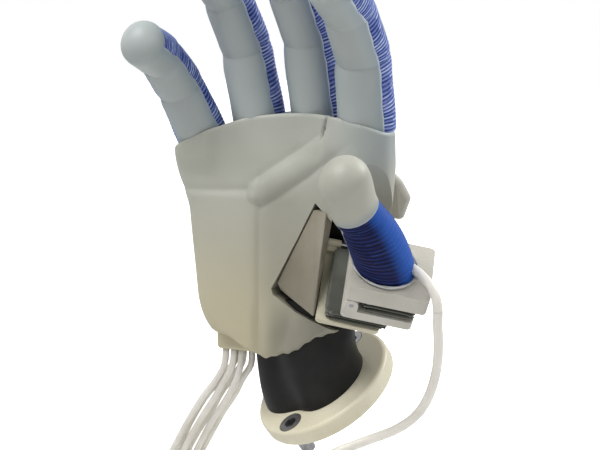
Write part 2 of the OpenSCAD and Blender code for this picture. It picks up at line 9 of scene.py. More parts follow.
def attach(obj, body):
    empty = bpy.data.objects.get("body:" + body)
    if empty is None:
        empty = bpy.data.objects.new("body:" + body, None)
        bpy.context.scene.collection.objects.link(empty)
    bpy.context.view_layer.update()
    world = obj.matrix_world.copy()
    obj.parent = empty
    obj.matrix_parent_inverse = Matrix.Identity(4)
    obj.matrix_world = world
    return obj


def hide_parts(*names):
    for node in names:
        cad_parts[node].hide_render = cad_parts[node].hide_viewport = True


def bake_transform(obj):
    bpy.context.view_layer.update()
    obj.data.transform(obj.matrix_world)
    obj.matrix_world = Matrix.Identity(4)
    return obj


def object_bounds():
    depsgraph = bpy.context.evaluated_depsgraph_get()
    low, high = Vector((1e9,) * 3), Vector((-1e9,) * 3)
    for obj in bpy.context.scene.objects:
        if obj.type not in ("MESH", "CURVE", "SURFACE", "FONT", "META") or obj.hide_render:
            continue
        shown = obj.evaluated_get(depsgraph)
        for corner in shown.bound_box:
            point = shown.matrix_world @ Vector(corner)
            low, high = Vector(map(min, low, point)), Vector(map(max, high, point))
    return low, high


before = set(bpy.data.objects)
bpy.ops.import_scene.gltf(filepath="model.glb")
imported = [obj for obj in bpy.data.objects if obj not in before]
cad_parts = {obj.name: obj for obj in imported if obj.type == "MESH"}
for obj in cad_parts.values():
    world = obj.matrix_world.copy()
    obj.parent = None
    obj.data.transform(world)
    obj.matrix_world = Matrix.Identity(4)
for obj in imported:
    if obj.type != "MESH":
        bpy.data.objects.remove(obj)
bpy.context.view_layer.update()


# ---- Air hoses ----
# Six thin hoses and a thicker one, extruded from clear silicone. Each is pushed over a stub inside the hand
# and runs back to the valves. The length that isn't laid out lies in one flat coil on the table.

def smooth_line(points, step):
    """Catmull-Rom curve through the points: each span is the cubic whose slope at a point is half the way
    from the point before to the point after. Samples lie about step apart."""
    p = np.array(points, float)
    before = np.vstack([2 * p[0] - p[1], p[:-1]])[:-1]
    after = np.vstack([p[1:], 2 * p[-1] - p[-2]])[1:]
    rows = []
    for a, b, c, d in zip(before, p[:-1], p[1:], after):
        n = max(2, int(np.linalg.norm(c - b) / step))
        t = np.linspace(0, 1, n, endpoint=False)[:, None]
        rows.append(0.5 * (2 * b + (c - a) * t + (2 * a - 5 * b + 4 * c - d) * t**2
                           + (3 * b - a - 3 * c + d) * t**3))
    return np.vstack(rows + [p[-1:]])


def length_of(line):
    """Sum of the distances between neighbouring points."""
    return float(np.linalg.norm(np.diff(line, axis=0), axis=1).sum())


def mesh_from(name, points, faces, smooth=True):
    """Object at the origin with these vertices and faces, in metres."""
    mesh = bpy.data.meshes.new(name)
    mesh.from_pydata(np.asarray(points).tolist(), [], faces if isinstance(faces, list) else faces.tolist())
    mesh.polygons.foreach_set("use_smooth", np.full(len(mesh.polygons), smooth))
    mesh.update()
    piece = bpy.data.objects.new(name, mesh)
    bpy.context.scene.collection.objects.link(piece)
    return piece


def grid_faces(rows, columns):
    """Quads between neighbouring rows and columns of a grid whose last column joins its first."""
    i, j = np.meshgrid(np.arange(rows - 1), np.arange(columns), indexing="ij")
    k = (j + 1) % columns
    corners = [i * columns + j, i * columns + k, (i + 1) * columns + k, (i + 1) * columns + j]
    return np.stack(corners, -1).reshape(-1, 4)


def closed_tube(grid):
    """Vertices and faces of a grid of rings, rows by columns by 3, with a fan to the ring's middle at both
    ends."""
    rows, columns, _ = grid.shape
    points = np.vstack([grid.reshape(-1, 3), grid[0].mean(0), grid[-1].mean(0)])
    j = np.arange(columns)
    k = (j + 1) % columns
    foot, head = rows * columns, rows * columns + 1
    caps = [[foot, b, a] for a, b in zip(j, k)]
    caps += [[head, (rows - 1) * columns + a, (rows - 1) * columns + b] for a, b in zip(j, k)]
    return points, grid_faces(rows, columns).tolist() + caps


def swept(name, line, radius, sides):
    """Tube along a line: a circle square to the line at each point, turned as little as it can be from one
    ring to the next."""
    along = np.gradient(line, axis=0)
    along /= np.linalg.norm(along, axis=1)[:, None]
    up = np.cross(along[0], [1, 0.3, 0.2])
    rings = []
    angles = np.arange(sides) * 2 * np.pi / sides
    for point, t in zip(line, along):
        up = up - t * up.dot(t)
        up /= np.linalg.norm(up)
        side = np.cross(t, up)
        rings.append(point + radius * (np.cos(angles)[:, None] * up + np.sin(angles)[:, None] * side))
    return mesh_from(name, *closed_tube(np.array(rings)))


def finish_nodes(name):
    """New material, its node tree and its shader."""
    material = bpy.data.materials.new(name)
    material.use_nodes = True
    return material, material.node_tree, material.node_tree.nodes["Principled BSDF"]


def cloud_noise(tree, vector, scale, detail):
    """Noise over a vector socket, with scale waves to each unit of it."""
    cloud = tree.nodes.new("ShaderNodeTexNoise")
    cloud.inputs["Scale"].default_value = scale
    cloud.inputs["Detail"].default_value = detail
    tree.links.new(vector, cloud.inputs["Vector"])
    return cloud.outputs["Fac"]


def noise(tree, scale, detail=4.0):
    """Noise over the piece's own coordinates, in metres."""
    return cloud_noise(tree, tree.nodes.new("ShaderNodeTexCoord").outputs["Object"], scale, detail)


def ramp(tree, value, stops):
    """Colour ramp over a value: stops are (place, (r, g, b))."""
    node = tree.nodes.new("ShaderNodeValToRGB")
    while len(node.color_ramp.elements) < len(stops):
        node.color_ramp.elements.new(0.5)
    for element, (place, colour) in zip(node.color_ramp.elements, stops):
        element.position = place
        element.color = (*colour, 1)
    tree.links.new(value, node.inputs["Fac"])
    return node.outputs["Color"]


def mixed(tree, share, low, high, blend="MIX"):
    """Colour mix of low and high by share; each may be a colour or a socket."""
    node = tree.nodes.new("ShaderNodeMix")
    node.data_type = "RGBA"
    node.blend_type = blend
    for socket, value in zip((node.inputs[0], node.inputs[6], node.inputs[7]), (share, low, high)):
        if isinstance(value, bpy.types.NodeSocket):
            tree.links.new(value, socket)
        elif isinstance(value, (int, float)):
            socket.default_value = value
        else:
            socket.default_value = (*value, 1)
    return node.outputs[2]


def bumped(tree, shader, height, depth):
    """Bump of this depth, in metres, under the shader."""
    node = tree.nodes.new("ShaderNodeBump")
    node.inputs["Strength"].default_value = 1
    node.inputs["Distance"].default_value = depth
    tree.links.new(height, node.inputs["Height"])
    tree.links.new(node.outputs["Normal"], shader.inputs["Normal"])


hose_silicone, tree, shader = finish_nodes("hose_silicone")
tree.links.new(ramp(tree, noise(tree, 60), [(0.3, (0.66, 0.63, 0.57)), (0.7, (0.78, 0.76, 0.71))]),
               shader.inputs["Base Color"])
shader.inputs["Roughness"].default_value = 0.3
shader.inputs["IOR"].default_value = 1.41
shader.inputs["Subsurface Weight"].default_value = 0.6
shader.inputs["Subsurface Radius"].default_value = (1, 1, 0.9)
shader.inputs["Subsurface Scale"].default_value = 0.002
bumped(tree, shader, noise(tree, 900, 2), 0.00004)

mm = 0.001
hose_d = 3 * mm
thumb_hose_d = 4 * mm
hose_length = 0.80
thumb_hose_length = 0.75
coil_middle = np.array([-60, 50]) * mm
coil_pitch = 4.1 * mm
coil_steps = 90
hose_routes = [
    [[-42, -17, 19], [-44, -15.5, 11], [-50, -12.5, 3], [-59, -8, -6], [-69, -2, -17], [-82, 7, -32],
     [-95, 18, -47], [-105, 32, -58], [-108, 50, -61.5]],
    [[-38, -17, 19], [-40, -15.5, 11], [-46, -12.5, 3], [-54, -8, -7], [-64, -2, -18], [-77, 7, -33],
     [-89, 18, -47], [-98.5, 32, -58], [-101.6, 50, -61.5]],
    [[-34, -17, 19], [-36, -15.5, 11], [-41, -12, 2], [-49, -7, -8], [-59, -1, -19], [-71, 8, -33],
     [-83, 19, -47], [-92, 32, -58], [-95.2, 50, -61.5]],
    [[-40, -12, 19], [-42, -10, 12], [-48, -6.5, 6], [-57, -1.5, -2], [-67, 4, -12], [-80, 13, -27],
     [-92, 24, -42], [-102, 36, -54], [-104.8, 50, -61.5]],
    [[-36, -12, 19], [-38, -10, 12], [-44, -6.5, 5], [-53, -1.5, -4], [-62, 4, -15], [-75, 13, -29],
     [-87, 24, -42], [-96, 36, -54], [-98.4, 50, -61.5]],
    [[-32, -12, 19], [-34, -9.5, 11], [-40, -6, 4], [-47, -1, -5], [-57, 5, -16], [-69, 14, -30],
     [-81, 25, -43], [-90, 36, -54], [-92, 50, -61.5]]]
thumb_feed = [[52, -32.5, 64], [56.5, -33.8, 62], [61.5, -35.6, 58.5], [65, -36.7, 53.8]]
thumb_route = [
    [65.8, -36, 47.8], [65, -34.2, 42], [64, -31, 33], [61.5, -27, 22], [56.5, -23, 10], [49, -19, 0],
    [39, -18, -7.5], [27, -20, -13], [14, -26, -19], [0, -24, -28], [-14, -13, -40], [-28, 3, -51],
    [-43, 16, -58], [-60, 21.8, -62]]


def coiled(free, length):
    """The free line, then a helix about the coil's upright middle line, clockwise seen from above. It keeps
    the free line's last radius, and falls one pitch each turn until the line has this length."""
    start = free[-1]
    radius = np.linalg.norm(start[:2] - coil_middle)
    first = math.atan2(start[1] - coil_middle[1], start[0] - coil_middle[0])
    turns = (length - length_of(free)) / math.hypot(2 * math.pi * radius, coil_pitch)
    done = np.linspace(0, turns, int(turns * coil_steps))[1:]
    angle = first - done * 2 * math.pi
    helix = np.stack([coil_middle[0] + radius * np.cos(angle), coil_middle[1] + radius * np.sin(angle),
                      start[2] - done * coil_pitch], 1)
    return np.vstack([free, helix])


# The first hose stands for the coil's solid too
for number, route in enumerate(hose_routes, 1):
    line = coiled(smooth_line(np.array(route) * mm, 2.5 * mm), hose_length)
    hose = swept(f"hose_{number}_tube", line, hose_d / 2, 10)
    hose.data.materials.append(hose_silicone)
    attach(hose, "base")
    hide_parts(f"hose_{number}", *(["hose_coil"] if number == 1 else []))

# The thumb's hose is one tube in two lengths, which meet where it hangs free of the thumb
whole = smooth_line(np.array(thumb_feed + thumb_route) * mm, 1.5 * mm)
meeting = int(np.argmin(np.linalg.norm(whole - np.array(thumb_route[0]) * mm, axis=1)))
line = coiled(whole[meeting:], thumb_hose_length)
thumb_hose_tube = swept("thumb_hose_tube", line, thumb_hose_d / 2, 14)
thumb_hose_tube.data.set_sharp_from_angle(angle=math.radians(60))
thumb_hose_tube.data.materials.append(hose_silicone)
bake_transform(thumb_hose_tube)
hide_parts("thumb_hose")

line = whole[:meeting + 1]
feed = swept("thumb_feed_tube", line, thumb_hose_d / 2, 14)
feed.data.set_sharp_from_angle(angle=math.radians(60))
feed.data.materials.append(hose_silicone)
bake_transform(feed)
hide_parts("thumb_feed_hose")

# ---- Fingers and thumb ----
# Each finger is a silicone air chamber, wound closely with sewing thread so that it can't swell sideways. A
# solid silicone pad is cast over its palm side and its tip. Soft creases between the segments let it bend.
# Below are each finger's seat and its turns in degrees, its radius, its segments' lengths and the bends
# between.
fingers = {
    "index": ([25, -17, 119.5], [14, 3, 1], 12, [28, 24, 27], [24, 22]),
    "middle": ([-0.5, -10.5, 121.5], [13, -1, -1], 11.4, [33, 26, 29], [20, 20]),
    "ring": ([-26, -15.5, 119.5], [11, -6, 4], 11.2, [30, 26, 28], [20, 20]),
    "little": ([-48.5, -24.5, 111.5], [20, -19.5, 17], 10.8, [24, 20, 27], [25, 26])}
taper = 0.055


def turned(x, y, z):
    """Turn by x, y and z degrees about the three axes, in that order, as a matrix."""
    x, y, z = np.radians([x, y, z])
    about_x = np.array([[1, 0, 0], [0, np.cos(x), -np.sin(x)], [0, np.sin(x), np.cos(x)]])
    about_y = np.array([[np.cos(y), 0, np.sin(y)], [0, 1, 0], [-np.sin(y), 0, np.cos(y)]])
    about_z = np.array([[np.cos(z), -np.sin(z), 0], [np.sin(z), np.cos(z), 0], [0, 0, 1]])
    return about_z @ about_y @ about_x


def smoothed(value, low, high):
    """0 below low, 1 above high, and 3t^2 - 2t^3 between."""
    t = np.clip((value - low) / (high - low), 0, 1)
    return t * t * (3 - 2 * t)


def hump(distance, width):
    """Bell curve: exp of minus the squared distance over the squared width."""
    return np.exp(-(distance / width) ** 2)


def mitre(y, degrees):
    """Height of a plane through the middle line that is tilted by half the bend: y tan(bend / 2)."""
    return y * math.tan(math.radians(degrees) / 2)


def straight(z):
    """A finger's middle line: no shift to the palm side, and no waist."""
    return 0 * z, 0 * z


def attribute(piece, name, values):
    """One number a vertex, which the material reads by this name."""
    layer = piece.data.attributes.new(name, "FLOAT", "POINT")
    layer.data.foreach_set("value", np.asarray(values, np.float32))


def with_poles(values):
    """A grid's values in one row, then its first and its last once more for the middles of the end fans."""
    values = np.ravel(values)
    return np.concatenate([values, values[:1], values[-1:]])


def read_attribute(tree, name):
    """The shader's reading of a number stored on the vertices."""
    node = tree.nodes.new("ShaderNodeAttribute")
    node.attribute_name = name
    return node.outputs["Fac"]


# Milky cast silicone. It takes on the thread's blue beside the winding, is pale along the seam, and yellows
# with age and handling. Over the dark frame and at the tail it is painted darker, partly the dark parts
# behind showing through and partly painted shade; the thumb's skin is painted darker as painted shade, and
# the opening's shaded edge is painted near black as painted shade.
silicone, tree, shader = finish_nodes("cast_silicone")
body_colour = ramp(tree, noise(tree, 22, 5), [(0.25, (0.395, 0.405, 0.350)), (0.75, (0.480, 0.485, 0.430))])
tinted = mixed(tree, read_attribute(tree, "near_thread"), body_colour, (0.235, 0.305, 0.365))
edged = mixed(tree, read_attribute(tree, "seam_line"), tinted, (0.52, 0.55, 0.56))
aged = mixed(tree, read_attribute(tree, "yellowed"), edged, (0.50, 0.455, 0.315))
# Painted shade, with the dark frame showing through the thin casting, darkens the silicone by this mask
frame_and_shade_darkened = mixed(tree, read_attribute(tree, "frame_and_painted_shade"), aged, (0.245, 0.235, 0.190))
shaded = mixed(tree, read_attribute(tree, "in_shade"), frame_and_shade_darkened, (0.012, 0.011, 0.009))
stain = ramp(tree, noise(tree, 9, 3), [(0.45, (1, 1, 1)), (0.70, (0.90, 0.885, 0.84))])
tree.links.new(mixed(tree, 1.0, shaded, stain, "MULTIPLY"), shader.inputs["Base Color"])
shader.inputs["Roughness"].default_value = 0.45
shader.inputs["IOR"].default_value = 1.41
shader.inputs["Subsurface Weight"].default_value = 0.35
shader.inputs["Subsurface Radius"].default_value = (1.0, 1.0, 0.85)
shader.inputs["Subsurface Scale"].default_value = 0.003
bumped(tree, shader, noise(tree, 1400, 3), 0.00005)


def thread_finish(name, groove, crest, glint, patch, lit):
    """Sewing thread. Across a turn the colour runs from groove to crest to glint and back, a painted shade in
    the groove between turns and a painted highlight on each turn. Each turn is a little lighter or darker
    than the next, dark streaks run along the thread, the dye is uneven in patches, and the side that the
    light reaches is painted brighter. The map's u counts turns, and v is the share of the way round."""
    material, tree, shader = finish_nodes(name)
    place = tree.nodes.new("ShaderNodeUVMap")
    place.uv_map = "thread"
    split = tree.nodes.new("ShaderNodeSeparateXYZ")
    tree.links.new(place.outputs["UV"], split.inputs[0])
    across = tree.nodes.new("ShaderNodeMath")
    across.operation = "FRACT"
    tree.links.new(split.outputs["X"], across.inputs[0])
    # Painted shade in the groove between turns and a painted highlight, the glint, on each turn
    body = ramp(tree, across.outputs[0],
                [(0.0, groove), (0.16, groove), (0.34, crest), (0.55, glint), (0.78, crest), (1.0, groove)])

    def along_thread(across_scale, along_scale, detail):
        stretch = tree.nodes.new("ShaderNodeMapping")
        stretch.inputs["Scale"].default_value = (across_scale, along_scale, 1)
        tree.links.new(place.outputs["UV"], stretch.inputs["Vector"])
        return cloud_noise(tree, stretch.outputs["Vector"], 1, detail)

    turn_tone = ramp(tree, along_thread(0.9, 2.5, 1),
                     [(0.34, (0.42, 0.48, 0.70)), (0.5, (1, 1, 1)), (0.66, (1.5, 1.4, 1.15))])
    toned = mixed(tree, 1.0, body, turn_tone, "MULTIPLY")
    fibres = along_thread(6, 30, 3)
    fibre_tone = ramp(tree, fibres, [(0.35, (0.62, 0.62, 0.68)), (0.65, (1.2, 1.2, 1.15))])
    streaked = mixed(tree, 0.8, toned, fibre_tone, "MULTIPLY")
    patches = ramp(tree, noise(tree, 170, 3), [(0.52, (0, 0, 0)), (0.72, (0.6, 0.6, 0.6))])
    dyed = mixed(tree, patches, streaked, patch)
    # Painted light: the side that the light reaches is painted brighter
    tree.links.new(mixed(tree, read_attribute(tree, "lit_side"), dyed, lit), shader.inputs["Base Color"])
    shader.inputs["Roughness"].default_value = 0.6
    shader.inputs["Specular IOR Level"].default_value = 0.15
    bumped(tree, shader, fibres, 0.00008)
    return material


finger_thread = thread_finish(
    "finger_thread", groove=(0.014, 0.030, 0.17), crest=(0.13, 0.19, 0.46), glint=(0.40, 0.48, 0.76),
    patch=(0.17, 0.21, 0.47), lit=(0.22, 0.32, 0.68))
thumb_thread = thread_finish(
    "thumb_thread", groove=(0.001, 0.002, 0.018), crest=(0.003, 0.010, 0.070), glint=(0.014, 0.030, 0.15),
    patch=(0.014, 0.008, 0.045), lit=(0.020, 0.095, 0.42))
finger_pitch, thumb_pitch = 1.6 * mm, 1.45 * mm
thread_ridge, rings_a_turn = 0.45 * mm, 9
wound_crease, wound_crease_width = 0.5 * mm, 2.2 * mm
pad_crease, pad_crease_width = 0.28 * mm, 2.6 * mm
pad_under, pad_over = 1.3 * mm, 0.3 * mm


def winding_piece(name, radii, length, low, high, top, pitch, lowest, waist, place, turn, uneven, lit):
    """A wound segment: rings a fraction of a turn apart, the radius rising and falling as a half circle
    over each turn of the thread. The turns fan out between the two end surfaces, low(y) and high(y), wander
    by uneven times two sines, and are drawn in at the creases."""
    rows, columns = int((top - lowest) / pitch * rings_a_turn), 84
    angle = np.linspace(0, 2 * np.pi, columns, endpoint=False)[None, :]
    share = np.linspace(0, 1, rows)[:, None]
    z = lowest + (top - lowest) * share + 0 * angle
    turns = (z / pitch + angle / (2 * np.pi) + uneven * np.sin(angle * 2 + z / (4.3 * mm))
             + 0.6 * uneven * np.sin(angle * 3 - z / (2.9 * mm) + 1))
    across = np.mod(turns, 1)
    ridge = thread_ridge * np.sqrt(np.clip(1 - (2 * across - 1) ** 2, 0, 1)) - thread_ridge
    loose = 0.14 * mm * np.sin(np.floor(turns) * 12.99) * uneven * 4
    crease = wound_crease * (hump(z - length, wound_crease_width) * (top >= length)
                             + hump(z, wound_crease_width) * (lowest >= 0))
    shift, slim = waist(z)
    r = radii[0] + (radii[1] - radii[0]) * z / length + ridge + loose - crease - slim
    x, y = r * np.cos(angle), r * np.sin(angle) - shift
    height = np.clip(z / length, 0, 1)
    z = z + low(y) * (1 - height) + high(y) * height
    grid = np.stack([x, y, z], -1) @ turn.T + place
    piece = mesh_from(name, *closed_tube(grid))
    uv = np.stack([turns, angle / (2 * np.pi) + 0 * turns], -1).reshape(-1, 2)
    uv = np.vstack([uv, uv[:1], uv[-1:]])
    corner = np.empty(len(piece.data.loops), int)
    piece.data.loops.foreach_get("vertex_index", corner)
    at_corner = uv[corner]
    face_of = np.repeat(np.arange(len(piece.data.polygons)), [p.loop_total for p in piece.data.polygons])
    widest = np.zeros(len(piece.data.polygons))
    np.maximum.at(widest, face_of, at_corner[:, 1])
    at_corner = at_corner + np.where(widest[face_of] - at_corner[:, 1] > 0.5, 1.0, 0.0)[:, None]
    piece.data.uv_layers.new(name="thread").data.foreach_set("uv", at_corner.ravel().astype(np.float32))
    # Painted light: the side towards the light is marked for a brighter colour
    attribute(piece, "lit_side", with_poles(lit * smoothed(np.sin(angle + 0.2), 0.62, 1.0) + 0 * z))
    return piece


def pad_piece(name, radii, length, low, high, tip, cap_z, lowest, waist, place, turn, seam, blueness):
    """A silicone segment. Its radius stands a little outside the winding on the palm side and over the tip,
    and dips under the winding elsewhere, so that the two meet in a seam. A tip closes in a dome: past
    dome_from of the rings the circle shrinks as cos(b) while the height rises as sin(b)."""
    rows, columns = (72, 96) if tip else (52, 96)
    dome_from, near_pole = 0.72, 0.985
    angle = np.linspace(0, 2 * np.pi, columns, endpoint=False)[None, :]
    share = np.linspace(0, 1, rows)[:, None]
    circle = 1.0
    z = lowest + (length - lowest) * share + 0 * angle
    if tip:
        b = np.clip((share - dome_from) / (1 - dome_from), 0, 1) * np.pi / 2 * near_pole
        circle, rise = np.cos(b), radii[1] * np.sin(b)
        z = lowest + (length - radii[1] - lowest) * np.clip(share / dome_from, 0, 1) + rise + 0 * angle
    palm_side = (-seam - np.sin(angle)) * radii[0] + 0 * z
    inside = np.maximum(palm_side, z - cap_z) if tip else palm_side
    wobble = 0.3 * mm * np.sin(z / (2.1 * mm)) * np.sin(z / (5.3 * mm))
    cover = smoothed(inside + wobble, -0.5 * mm, 1.2 * mm)
    crease = 0 * z if tip else pad_crease * hump(z - length, pad_crease_width)
    if lowest >= 0:
        crease = crease + pad_crease * hump(z, pad_crease_width)
    swell = 0.22 * mm * np.sin(z / (5.1 * mm) + angle) * np.sin(angle * 2 + 1)
    shift, slim = waist(z)
    r = radii[0] + (radii[1] - radii[0]) * np.clip(z / length, 0, 1) - slim
    r = (r - pad_under + (pad_under + pad_over) * cover - crease + swell) * circle
    x, y = r * np.cos(angle), r * np.sin(angle) - shift
    height = np.clip(z / length, 0, 1)
    z = z + low(y) * (1 - height) ** 2 + (0 if tip else high(y) * height ** 2)
    piece = mesh_from(name, *closed_tube(np.stack([x, y, z], -1) @ turn.T + place))
    piece.data.set_sharp_from_angle(angle=math.radians(60))
    away = smoothed(inside, 0.2 * mm, 5.5 * mm)
    attribute(piece, "near_thread", with_poles(blueness + (0.85 - blueness) * (1 - away)))
    attribute(piece, "seam_line", with_poles(0.8 * hump(inside - 0.7 * mm, 0.5 * mm)))
    return piece


def join_segment(piece, paint, node, bodies):
    """Gives a segment's piece its finish and hides the CAD node it stands for. A piece within one body is
    attached to that body; one that spans two keeps its place in the world.
    """
    piece.data.materials.append(paint)
    if bodies[0] == bodies[1]:
        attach(piece, bodies[1])
    else:
        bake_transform(piece)
    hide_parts(node)


for finger, (seat, turns, radius, lengths, bends) in fingers.items():
    place, turn = np.array(seat) * mm, turned(*turns)
    for k, length in enumerate(lengths):
        tip = k == len(lengths) - 1
        radii = [radius * mm * (1 - taper * (k + n)) for n in (0, 1)]
        below, above = (bends[k - 1] if k else 0), (0 if tip else bends[k])
        low, high = (lambda y, d=below: -mitre(y, d)), (lambda y, d=above: mitre(y, d))
        length, lowest = length * mm, 0.0 if k else -3 * mm
        cap = length - 0.85 * radius * mm if tip else 10 * length
        winding = winding_piece(f"{finger}_winding_{k + 1}", radii, length, low, high,
                                min(length, cap + 2 * mm), finger_pitch, lowest, straight, place, turn,
                                uneven=0.30, lit=0.45)
        skin = pad_piece(f"{finger}_skin_{k + 1}", radii, length, low, high, tip, cap, lowest, straight,
                         place, turn, seam=0.42, blueness=0.42)
        bodies = ["base" if k == 0 else f"{finger}_{k}", f"{finger}_{k + 1}"]
        chamber, pad = f"{finger}_chamber_{k + 1}", f"{finger}_pad_{k + 1}"
        join_segment(winding, finger_thread, chamber, bodies)
        join_segment(skin, silicone, pad, bodies)
        place = place + turn @ np.array([0, 0, length])
        turn = turn @ turned(above, 0, 0)

# The thumb leans on its saddle. Its winding runs down to the saddle, the turns crowding on the palm side,
# and its waist draws it in and towards the palm. fan is the turn of the plates and bellows under it, and
# fan_at their place.
fan_at, fan = np.array([27, -45, 44]) * mm, turned(37, 12, 28)
thumb_foot, thumb_lean = np.array([13.5, 14.5, 18.2]) * mm, 22
thumb_radius, thumb_lengths, thumb_bend = 12 * mm, [22 * mm, 31 * mm], 18
lean_rise = math.tan(math.radians(thumb_lean))
thumb_base_turn = fan @ turned(0, 0, -90) @ turned(thumb_lean, 0, 0)
thumb_base = fan_at + fan @ thumb_foot + thumb_base_turn @ np.array([0, 0, thumb_radius * lean_rise])
turn, place = thumb_base_turn, thumb_base
for k, length in enumerate(thumb_lengths):
    tip = k == 1
    radii = [thumb_radius * (1 - taper * k), 10.2 * mm if tip else thumb_radius * (1 - taper)]
    low = (lambda y: -mitre(y, thumb_bend)) if tip else (lambda y: -(thumb_radius + y) * lean_rise)
    high = (lambda y: 0 * y) if tip else (lambda y: mitre(y, thumb_bend))
    waist = lambda z, done=k * thumb_lengths[0]: (4.0 * mm * hump(z + done - 27 * mm, 13 * mm),
                                                  1.7 * mm * hump(z + done - 27 * mm, 11 * mm))
    winding = winding_piece(f"thumb_winding_{k + 1}", radii, length, low, high, 7 * mm if tip else length,
                            thumb_pitch, 0.0, waist, place, turn, uneven=0.10, lit=0.85)
    skin = pad_piece(f"thumb_skin_{k + 1}", radii, length, low, high, tip, 5 * mm, 0.0, waist, place, turn,
                     seam=0.86, blueness=0.0)
    # The thumb's silicone is painted darker all over, as painted shade
    attribute(skin, "frame_and_painted_shade", np.full(len(skin.data.vertices), 0.35))
    bodies = ["thumb_root", "thumb_end" if tip else "thumb_root"]
    join_segment(winding, thumb_thread, f"thumb_chamber_{k + 1}", bodies)
    join_segment(skin, silicone, f"thumb_pad_{k + 1}", bodies)
    place = place + turn @ np.array([0, 0, length])
    turn = turn @ turned(0 if tip else thumb_bend, 0, 0)

# A bead of clear silicone glue round the thumb's foot, which swells and thins along its way
clear_silicone, tree, shader = finish_nodes("clear_silicone")
tree.links.new(ramp(tree, noise(tree, 90), [(0.3, (0.50, 0.51, 0.50)), (0.7, (0.66, 0.67, 0.66))]),
               shader.inputs["Base Color"])
shader.inputs["Roughness"].default_value = 0.2
shader.inputs["Transmission Weight"].default_value = 0.3
shader.inputs["IOR"].default_value = 1.41
bumped(tree, shader, noise(tree, 500, 2), 0.00008)


def outward(piece):
    """Turns every face outwards."""
    shape = bmesh.new()
    shape.from_mesh(piece.data)
    bmesh.ops.recalc_face_normals(shape, faces=shape.faces)
    shape.to_mesh(piece.data)
    shape.free()


def foot_ring(name, reach, height, thickness, swing):
    """Closed ring round the thumb's foot: its middle line is the foot's outline moved out by reach and up
    by height, and its round section grows and shrinks by swing times a sine."""
    a = np.linspace(0, 2 * np.pi, 144, endpoint=False)
    r = thumb_radius + reach
    line = np.stack([r * np.cos(a), r * np.sin(a), -(thumb_radius + r * np.sin(a)) * lean_rise], -1)
    line = line @ thumb_base_turn.T + thumb_base + fan @ np.array([0, 0, height])
    middle, up = line.mean(0), fan @ np.array([0, 0, 1.0])
    out = line - middle
    out -= np.outer(out @ up, up)
    out /= np.linalg.norm(out, axis=1)[:, None]
    b = np.linspace(0, 2 * np.pi, 12, endpoint=False)[None, :, None]
    size = (thickness * (1 + swing * np.sin(3 * a + 0.8) + 0.5 * swing * np.sin(11 * a)))[:, None, None]
    grid = line[:, None] + size * (np.cos(b) * out[:, None] + np.sin(b) * up)
    return mesh_from(name, grid.reshape(-1, 3), grid_faces(len(a) + 1, 12) % (len(a) * 12))


rim = foot_ring("thumb_foot_glue", reach=0.35 * mm, height=1.0 * mm, thickness=0.5 * mm, swing=0.3)
outward(rim)
rim.data.materials.append(clear_silicone)
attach(rim, "thumb_root")
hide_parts("thumb_collar")

# ---- Palm ----
# One casting of soft silicone over a printed frame: a broad pad with a rolled fold across it, a heel
# crease, a seat round each finger and an opening where the thumb's base stands out. A tab under the heel
# holds the thin hoses. The edges are x over height, the two outlines height over x, and the middle surface
# depth over x.
palm_foot, palm_top, palm_thickness = 28 * mm, 122.5 * mm, 25 * mm
left_edge = [[16, -34], [24, -38], [30, -44], [36, -47.5], [44, -49.5], [68, -51.5], [90, -53], [108, -57.5],
             [124, -58]]
right_edge = [[16, 4], [24, 12], [34, 20], [60, 29], [84, 36], [104, 38.5], [124, 38.5]]
lower_edge = [[-60, 31], [-50, 27.5], [-33, 26.5], [-27, 22], [-18, 17.5], [-9, 19], [0, 24], [10, 30],
              [22, 33], [40, 40]]
upper_edge = [[-60, -15], [-49, -10], [-38, -4.8], [-25, -0.3], [-10, 1.6], [5, 1.8], [20, 0.5], [23, -0.8],
              [30, -1.6], [40, -6]]
middle_at_fingers = [[-60, -29], [-48.5, -24.5], [-26, -15.5], [-0.5, -10.5], [25, -17], [38, -21]]
fold_from, fold_to = np.array([-19.5, 89.5]), np.array([17, 114])
corner_blur = 2.0 * mm


def rounded_lookup(value, table):
    """Straight lines through the table's points, in millimetres, averaged over a short stretch so that
    their corners are round."""
    x, y = np.array(table, float).T * mm
    return sum(np.interp(value + shift * corner_blur, x, y) for shift in (-1.5, -0.75, 0, 0.75, 1.5)) / 5


